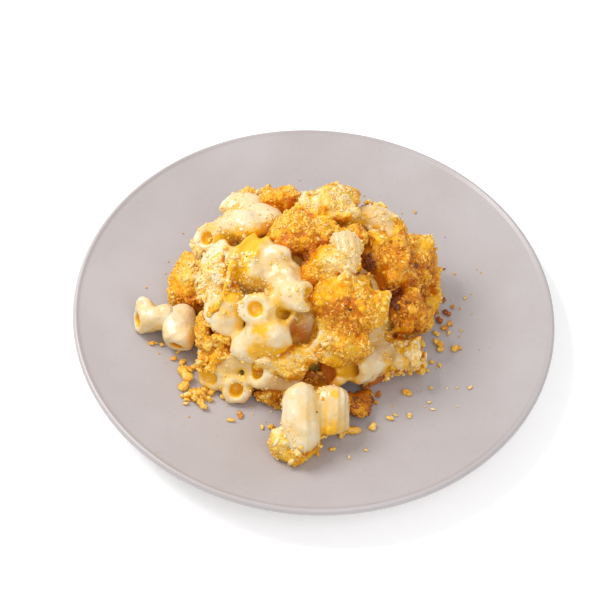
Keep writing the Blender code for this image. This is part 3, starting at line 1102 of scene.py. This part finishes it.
# Loose crumbs on the plate: x, y, width, tone (0 toasted to 1 straw).
looseCrumbs = [
    (50, 62, 2.2, 0.5), (63, 27, 1.8, 0.15), (68, 24, 2.0, 0.6), (72, 9, 2.0, 0.7),
    (69, -10, 2.0, 0.75), (58, -18, 5.5, 0.55), (59, -21, 4.0, 0.6), (65, -21, 5.0, 0.7),
    (67, -20, 3.0, 0.3), (54, -28, 3.0, 0.6), (58, -30, 2.6, 0.7), (52, -33, 2.6, 0.6),
    (42, -45, 5.0, 0.5), (53, -42, 2.2, 0.8), (52, -50, 2.0, 0.8), (53, -54, 2.2, 0.85),
    (70, -43, 2.4, 0.8), (36, -52, 1.6, 0.6), (43, -57, 3.4, 0.7), (35, -59, 3.6, 0.7),
    (37, -57, 2.4, 0.75), (27, -64, 4.8, 0.65), (18, -66, 6.5, 0.55), (14, -68, 4.5, 0.6),
    (29, -51, 3.0, 0.4), (10, -76, 3.0, 0.6), (4, -79, 2.4, 0.5), (-8, -79, 3.2, 0.5),
    (-16, -66, 4.2, 0.6), (-20, -66, 2.4, 0.75), (-30, -60, 3.8, 0.25), (-34, -64, 3.4, 0.6),
    (-54, -58, 2.6, 0.7), (-47, -57, 6.0, 0.6), (24, -76, 2.0, 0.7), (17, -80, 2.0, 0.8),
    (-55, -48, 6.5, 0.55), (-50, -52, 6.0, 0.55), (-44, -54, 5.0, 0.6), (-72, -27, 3.6, 0.5),
    (-68, -27, 3.0, 0.6), (-58, -36, 4.4, 0.5), (-62, -34, 3.6, 0.5), (-55, -39, 4.6, 0.6),
    (-43, -50, 4.5, 0.6), (-56, -42, 8.0, 0.6), (-51, -37, 6.0, 0.6), (-47, -50, 5.0, 0.65),
    (59, -4, 4.6, 0.15), (63, 0, 4.2, 0.1), (57, 4, 4.4, 0.2), (66, 4, 3.0, 0.3),
    (62, 8, 3.2, 0.2), (61, -9, 4.2, 0.35), (64, -6, 3.4, 0.45), (57, -12, 4.0, 0.6),
    (63, -12, 2.6, 0.7), (24, -52, 4.0, 0.05), (20, -57, 4.2, 0.1), (16, -57, 3.6, 0.15),
    (30, -47, 3.8, 0.2), (-60, -29, 3.4, 0.6), (-38, -52, 3.8, 0.6),
]


def crumbBall():
    # Regular twelve-cornered solid from the golden ratio, as unit points and its twenty faces
    g = (1 + math.sqrt(5)) / 2
    corners = [(-1, g, 0), (1, g, 0), (-1, -g, 0), (1, -g, 0), (0, -1, g), (0, 1, g)]
    corners += [(0, -1, -g), (0, 1, -g), (g, 0, -1), (g, 0, 1), (-g, 0, -1), (-g, 0, 1)]
    faces = [(0, 11, 5), (0, 5, 1), (0, 1, 7), (0, 7, 10), (0, 10, 11), (1, 5, 9), (5, 11, 4), (11, 10, 2)]
    faces += [(10, 7, 6), (7, 1, 8), (3, 9, 4), (3, 4, 2), (3, 2, 6), (3, 6, 8), (3, 8, 9), (4, 9, 5)]
    faces += [(2, 4, 11), (6, 2, 10), (8, 6, 7), (9, 8, 1)]
    return np.array(corners, float) / math.hypot(1, g), np.array(faces)


def randomTurns(count):
    # Rotation matrices from random unit quaternions
    q = rng.normal(size=(count, 4))
    w, x, y, z = (q / np.linalg.norm(q, axis=1, keepdims=True)).T
    rows = [1 - 2 * (y * y + z * z), 2 * (x * y - z * w), 2 * (x * z + y * w)]
    rows += [2 * (x * y + z * w), 1 - 2 * (x * x + z * z), 2 * (y * z - x * w)]
    rows += [2 * (x * z - y * w), 2 * (y * z + x * w), 1 - 2 * (x * x + y * y)]
    return np.stack(rows, 1).reshape(-1, 3, 3)


def layFlat(normals):
    # Rotation matrices that turn the third axis to near the given normals, at random headings
    lean = normals + rng.normal(0, 0.35, normals.shape)
    lean = lean / np.linalg.norm(lean, axis=1, keepdims=True)
    along = np.cross(lean, rng.normal(size=normals.shape))
    along = along / np.linalg.norm(along, axis=1, keepdims=True)
    return np.stack((along, np.cross(lean, along), lean), 2)


def crumbMesh(places, radii, tones, stretch, turns=None):
    # One jittered ball of twenty faces for each place: place + turn times (corner x jitter x size).
    turns = randomTurns(len(places)) if turns is None else turns
    ball, faces = crumbBall()
    count = len(places)
    jitter = rng.uniform(*crumbShape["jitter"], (count, 12, 1))
    sizes = radii[:, None] * rng.uniform(*stretch, (count, 3))
    corners = ball * jitter * sizes[:, None]
    points = places[:, None] + np.einsum("nij,nkj->nki", turns, corners)
    allFaces = faces + 12 * np.arange(count)[:, None, None]
    return points.reshape(-1, 3), allFaces.reshape(-1, 3), {"tone": np.repeat(tones, 12)}


def scatterOn(points, faces, weights, count):
    # Random places on four-sided faces, chosen by area times weight: the corners mixed by two random shares.
    # Each comes with its normal and the name of a corner.
    normals = faceNormals(points, faces)
    area = np.linalg.norm(normals, axis=1)
    chance = area * weights[faces].mean(1)
    picked = rng.choice(len(faces), count, p=chance / chance.sum())
    u, v = rng.random((2, count, 1))
    a, b, c, d = (points[faces[picked, i]] for i in range(4))
    places = (a * (1 - u) + b * u) * (1 - v) + (d * (1 - u) + c * u) * v
    return places, normals[picked] / area[picked, None], faces[picked, 0]


def crumbRadii(count, middle):
    # The middle size times e to a random power, held within the range
    return np.clip(middle * np.exp(rng.normal(0, crumbShape["spread"], count)), *crumbShape["radiusRange"])


def crumbLook(name, stops):
    # Dry crumb coloured by its tone, with a little mottling
    look = Look(name)
    tone = look.attribute("tone") + (look.noise(0.9, 2.0) - 0.5) * 0.35
    return look.finish({
        "Base Color": look.ramp(tone, stops),
        "Roughness": 0.36 + look.noise(1.5) * 0.2,
        "Normal": look.bump(look.noise(0.7, 2.0), 0.4, 0.15),
        "Coat Weight": 0.2,
        "Coat Roughness": 0.15,
    })


crumbTones = [(0.0, tint(100, 40, 6)), (0.15, tint(178, 92, 6)), (0.4, tint(230, 156, 10))]
crumbTones += [(0.7, tint(240, 194, 80)), (1.0, tint(244, 221, 176))]


def crustWeights():
    # How readily crumbs stick at each point of a chunk: clear of the other solids, in patches, less in folds
    weights = {}
    for name, (points, _, masks) in crusts.items():
        others = [block for block in allBlocks if block is not chunkBlocks[name]]
        clear = np.clip((np.min([block.sample(points) for block in others], 0) + 0.3) / 0.6, 0, 1)
        patchy = np.clip(0.55 + 1.3 * softNoise(*points.T, 8.0, 13), 0.15, 1)
        weights[name] = clear * patchy * np.clip(1.3 - masks["deep"], 0.05, 1)
    return weights


def crustPlaces(count, weights):
    # Places spread over every chunk by its weighted area, with their normals and the tone of the crust
    # there, which carries painted light from its peaks and painted shade from its folds and recesses
    areas = {}
    for name, (points, faces, _) in crusts.items():
        area = np.linalg.norm(faceNormals(points, faces), axis=1)
        areas[name] = (area * weights[name][faces].mean(1)).sum()
    whole = sum(areas.values())
    places, normals, tones = [], [], []
    for name, (points, faces, masks) in crusts.items():
        spot, normal, home = scatterOn(points, faces, weights[name], int(count * areas[name] / whole))
        places.append(spot)
        normals.append(normal)
        tone = 0.52 + 0.2 * masks["pale"][home] - 0.12 * masks["orange"][home] - 0.5 * masks["toast"][home]
        # Painted light on peaks, painted shade in folds and recesses
        tone = tone + 0.2 * masks["peak"][home] - 0.3 * masks["fold"][home] - 0.15 * masks["deep"][home]
        tones.append(tone)
    return np.concatenate(places), np.concatenate(normals), np.concatenate(tones)


def addCrumbs(name, made, look):
    points, faces, masks = made
    makePiece(name, points, faces, look, (), masks)


def addCrustGrains(weights):
    shape = crumbShape
    places, normals, tones = crustPlaces(shape["grainsOnCrust"], weights)
    radii = crumbRadii(len(places), shape["grainRadius"])
    tones = np.clip(tones + rng.normal(0, 0.1, len(places)), 0, 1)
    sunk = places - normals * radii[:, None] * shape["grainSink"]
    made = crumbMesh(sunk, radii, tones, shape["grainStretch"])
    addCrumbs("crumbs_golden", made, crumbLook("goldenCrumb", crumbTones))


def addCrustFlakes(weights):
    # Flakes lie flat on the crust and are a little paler than it
    shape = crumbShape
    places, normals, tones = crustPlaces(shape["flakesOnCrust"], weights)
    radii = crumbRadii(len(places), shape["flakeRadius"])
    tones = np.clip(tones + 0.18 + rng.normal(0, 0.12, len(places)), 0, 1)
    made = crumbMesh(places, radii, tones, shape["flakeStretch"], layFlat(normals))
    addCrumbs("crumbs_straw", made, crumbLook("strawCrumb", crumbTones))


def addSauceCrumbs():
    # On bare sauce, in patches and most of all on the crumbed places
    shape = crumbShape
    count = shape["grainsOnSauce"]
    patchy = np.clip(softNoise(*pastaPoints.T, 9.0, 5) * 1.6 - 0.1, 0, 1)
    patchy = patchy + 0.8 * spotMask(pastaPoints, crumbedSauce, 6.0)
    clear = np.min([block.sample(pastaPoints) for block in chunkBlocks.values()], 0) > -0.3
    bare = (1 - pastaMasks["inner"]) * (1 - pastaMasks["gap"])
    places = scatterOn(pastaPoints, pastaFaces, patchy * clear * bare, count)[0]
    radii = crumbRadii(count, shape["grainRadius"])
    tones = np.clip(rng.normal(0.82, 0.14, count), 0, 1)
    made = crumbMesh(places, radii, tones, shape["sauceStretch"])
    addCrumbs("crumbs_on_sauce", made, crumbLook("sauceCrumb", crumbTones))


def addPepper():
    # Each speck lies at the point of the food nearest to its place
    food = np.concatenate([pastaPoints] + [crust[0] for crust in crusts.values()])
    wanted = np.array(pepperPlaces, float)
    places = np.array([food[np.argmin(((food - place) ** 2).sum(1))] for place in wanted])
    radii = crumbShape["speckRadius"] * rng.uniform(0.7, 1.3, len(places))
    stops = [(0.0, tint(40, 30, 22)), (1.0, tint(90, 66, 40))]
    addCrumbs("pepper_specks", crumbMesh(places, radii, 0 * radii, (0.6, 1.3)), crumbLook("pepper", stops))


looseShape = {
    "lumps": 6,
    "scatter": 0.18,  # sideways; this and what follows are shares of the crumb's width
    "lift": (0.16, 0.34),
    "radii": ((0.2, 0.17, 0.14), (0.34, 0.3, 0.26)),
    "fillet": 0.08,
}


def looseCrumb(x, y, width, tone):
    # A row of overlapping ellipsoids with small clumps pressed out of them, lying on the plate
    shape = looseShape
    ground = float(flareHeight(np.hypot(x, y)))
    half = width * 0.9 + 0.8
    low = (x - half, y - half, ground - 0.6)
    block = Block(low, (x + half, y + half, ground + half + 0.6), max(0.3, width / 16))
    turn = rng.uniform(0, math.tau)
    for _ in range(shape["lumps"]):
        away = rng.normal(0, width * shape["scatter"])
        height = ground + width * rng.uniform(*shape["lift"])
        centre = (x + away * math.cos(turn), y + away * math.sin(turn), height)
        radii = width * rng.uniform(*shape["radii"])
        block.add(centre, width, lump(centre, radii), width * shape["fillet"])
    size = 0.6 + width * 0.12
    pebble(block, width * 0.4 + 0.5, ((size, size * 0.7, 5),))
    restOnPlate(block)
    points, faces = surfaceNet(block)
    return points, faces, np.clip(tone + (pebbleNoise(points, size, 5)[1] - 0.5) * 0.3, 0, 1)


def addLooseCrumbs(look):
    points, faces, tones = [], [], []
    count = 0
    for row in looseCrumbs:
        made = looseCrumb(*row)
        points.append(made[0])
        faces.append(made[1] + count)
        tones.append(made[2])
        count += len(made[0])
    made = np.concatenate(points), np.concatenate(faces), {"tone": np.concatenate(tones)}
    addCrumbs("crumbs_loose", made, look)


def addDust(look):
    # Crumbs too small to matter one by one, scattered in a ring round the heap
    count = crumbShape["dust"]
    angle = rng.uniform(0, math.tau, count)
    reach = rng.uniform(*crumbShape["dustReach"], count)
    radii = rng.uniform(0.25, 0.6, count)
    places = np.stack((reach * np.cos(angle), reach * np.sin(angle), flareHeight(reach) + radii * 0.6), 1)
    tones = np.clip(rng.normal(0.65, 0.2, count), 0, 1)
    addCrumbs("crumbs_dust", crumbMesh(places, radii, tones, (0.6, 1.2)), look)


crustWeight = crustWeights()
addCrustGrains(crustWeight)
addCrustFlakes(crustWeight)
addSauceCrumbs()
addPepper()
looseMaterial = crumbLook("looseCrumb", crumbTones)
addLooseCrumbs(looseMaterial)
addDust(looseMaterial)
print("crumbs done")


# loose elbows beside the heap

# Elbows in the same terms as the heap's, and lumps of sauce on them: centre, then radii.
strayShape = {
    "elbows": {
        "macaroni_stray_right": (-59.5, -22.5, 15, 93, 0, -17, 18, 36, 6.8, 6.0),
        "macaroni_stray_left": (-74.6, -18, 17, 20, 3, 90, 10.5, 35, 6.8, 5.0),
    },
    "sauce": {
        "macaroni_stray_right": [
            ((-62, -23, 19), (5, 6, 4)),
            ((-57, -28, 17), (4, 4, 4)),
            ((-60, -15, 17), (5, 4, 4)),
        ],
        "macaroni_stray_left": [
            ((-67, -17.5, 18.5), (5, 5.5, 5)),
            ((-77, -13, 22), (3, 2.2, 2.4)),
            ((-73, -20, 20), (4, 3, 3)),
        ],
    },
    "waves": ((8.0, 0.7), (3.6, 0.3), (1.8, 0.2)),
    "fillet": 2.0,
    "holeEdge": 1.6,
    "halfBox": (19, 19, 13),
    "step": 0.5,
}


def strayField(name):
    # An elbow with its lumps of sauce joined softly, ruffled, and its first end carved open.
    shape = strayShape
    *middle, heading, tilt, roll, length, bend, tube, depth = shape["elbows"][name]
    elbow = Elbow(middle, *arcAxes(heading, tilt, roll), length, bend, tube, depth)
    block = Block(elbow.middle - shape["halfBox"], elbow.middle + shape["halfBox"], shape["step"])
    block.add(elbow.middle, elbow.reach, elbow.solid, shape["fillet"])
    for centre, radii in shape["sauce"][name]:
        block.add(centre, max(radii) + 5, lump(centre, radii), heapShape["sauceFillet"])
    ruffle(block, 3.0, shape["waves"])
    block.carve(elbow.mouth(), 14, elbow.hole, shape["holeEdge"])
    restOnPlate(block)
    return block, elbow


strays = {name: strayField(name) for name in strayShape["elbows"]}
nearBlocks = allBlocks + [block for block, _ in strays.values()]
for name, (block, elbow) in strays.items():
    points, faces = surfaceNet(block)
    normals = pointNormals(points, faces)
    # Painted shade on the loose elbows: golden and tan on the faces that turn down, through the cheddar and
    # tan masks
    paintedUnderShade = np.clip(-normals[:, 2], 0, 1)
    masks = {
        "deep": recessShadeMask(points, normals, nearBlocks) * 0.7 + underShade(normals),
        "cheddar": 0.25 * paintedUnderShade,
        "tan": 0.2 * paintedUnderShade,
        "fold": reliefMasks(points, normals, block)[0],
        "gap": 0 * paintedUnderShade,
        "inner": innerMask(points, {name: elbow}),
    }
    makePiece(name + "_sauced", points, faces, sauceMaterial, [name], masks)
print("loose elbows done")


# stage, light and camera

cameraSet = {
    "lens": 54.0,
    "place": (-6.6, -257.6, 345.4),
    "elevation": 52.28,  # degrees that it looks down by
    "roll": 2.85,
}

# Lamps: place, width and power in watts.
lamps = {
    "key": ((-360, 130, 460), 300, 2.1),
    "fill": ((140, -320, 480), 450, 0.9),
    "spark": ((-240, 40, 520), 40, 0.35),
}
studio = {
    "sky": 0.66,
    "floorSize": 3.0,  # metres out from the middle
    "floorGlow": 0.16,
    "aim": (0, 0, 20),
}


def addFloor():
    look = Look("paleFloor")
    cloud = look.noise(180, 2.0)
    colour = look.mix(cloud, tint(250, 250, 250), tint(255, 255, 255))
    material = look.finish({
        "Base Color": colour,
        "Roughness": 0.7,
        "Emission Color": (1, 1, 1, 1),
        "Emission Strength": studio["floorGlow"],
    })
    size = studio["floorSize"]
    ground = plateLow.z - 0.0002
    mesh = bpy.data.meshes.new("floor")
    corners = [(-size, -size, ground), (size, -size, ground), (size, size, ground), (-size, size, ground)]
    mesh.from_pydata(corners, [], [(0, 1, 2, 3)])
    mesh.materials.append(material)
    floor = bpy.data.objects.new("floor", mesh)
    bpy.context.scene.collection.objects.link(floor)


def addSoftLight(name, place, size, power):
    light = bpy.data.lights.new(name, "AREA")
    light.shape = "DISK"
    light.size = size * mm
    light.energy = power
    lamp = bpy.data.objects.new(name, light)
    lamp.location = Vector(place) * mm
    aim = Vector(studio["aim"]) * mm - lamp.location
    lamp.rotation_euler = aim.to_track_quat("-Z", "Y").to_euler()
    bpy.context.scene.collection.objects.link(lamp)


def addCamera():
    camera = bpy.data.objects.new("camera", bpy.data.cameras.new("camera"))
    camera.data.lens = cameraSet["lens"]
    camera.location = Vector(cameraSet["place"]) * mm
    lean = Matrix.Rotation(math.radians(90 - cameraSet["elevation"]), 3, "X")
    roll = Matrix.Rotation(math.radians(cameraSet["roll"]), 3, "Z")
    camera.rotation_euler = (lean @ roll).to_euler()
    camera.data.clip_start = 0.01
    bpy.context.scene.collection.objects.link(camera)
    bpy.context.scene.camera = camera


def addSky():
    world = bpy.data.worlds.new("studio")
    world.use_nodes = True
    background = world.node_tree.nodes["Background"]
    background.inputs["Color"].default_value = (1, 1, 1, 1)
    background.inputs["Strength"].default_value = studio["sky"]
    bpy.context.scene.world = world
    bpy.context.scene.view_settings.view_transform = "Standard"


addFloor()
for name, lamp in lamps.items():
    addSoftLight(name, *lamp)
addSky()
addCamera()

print("stage done")
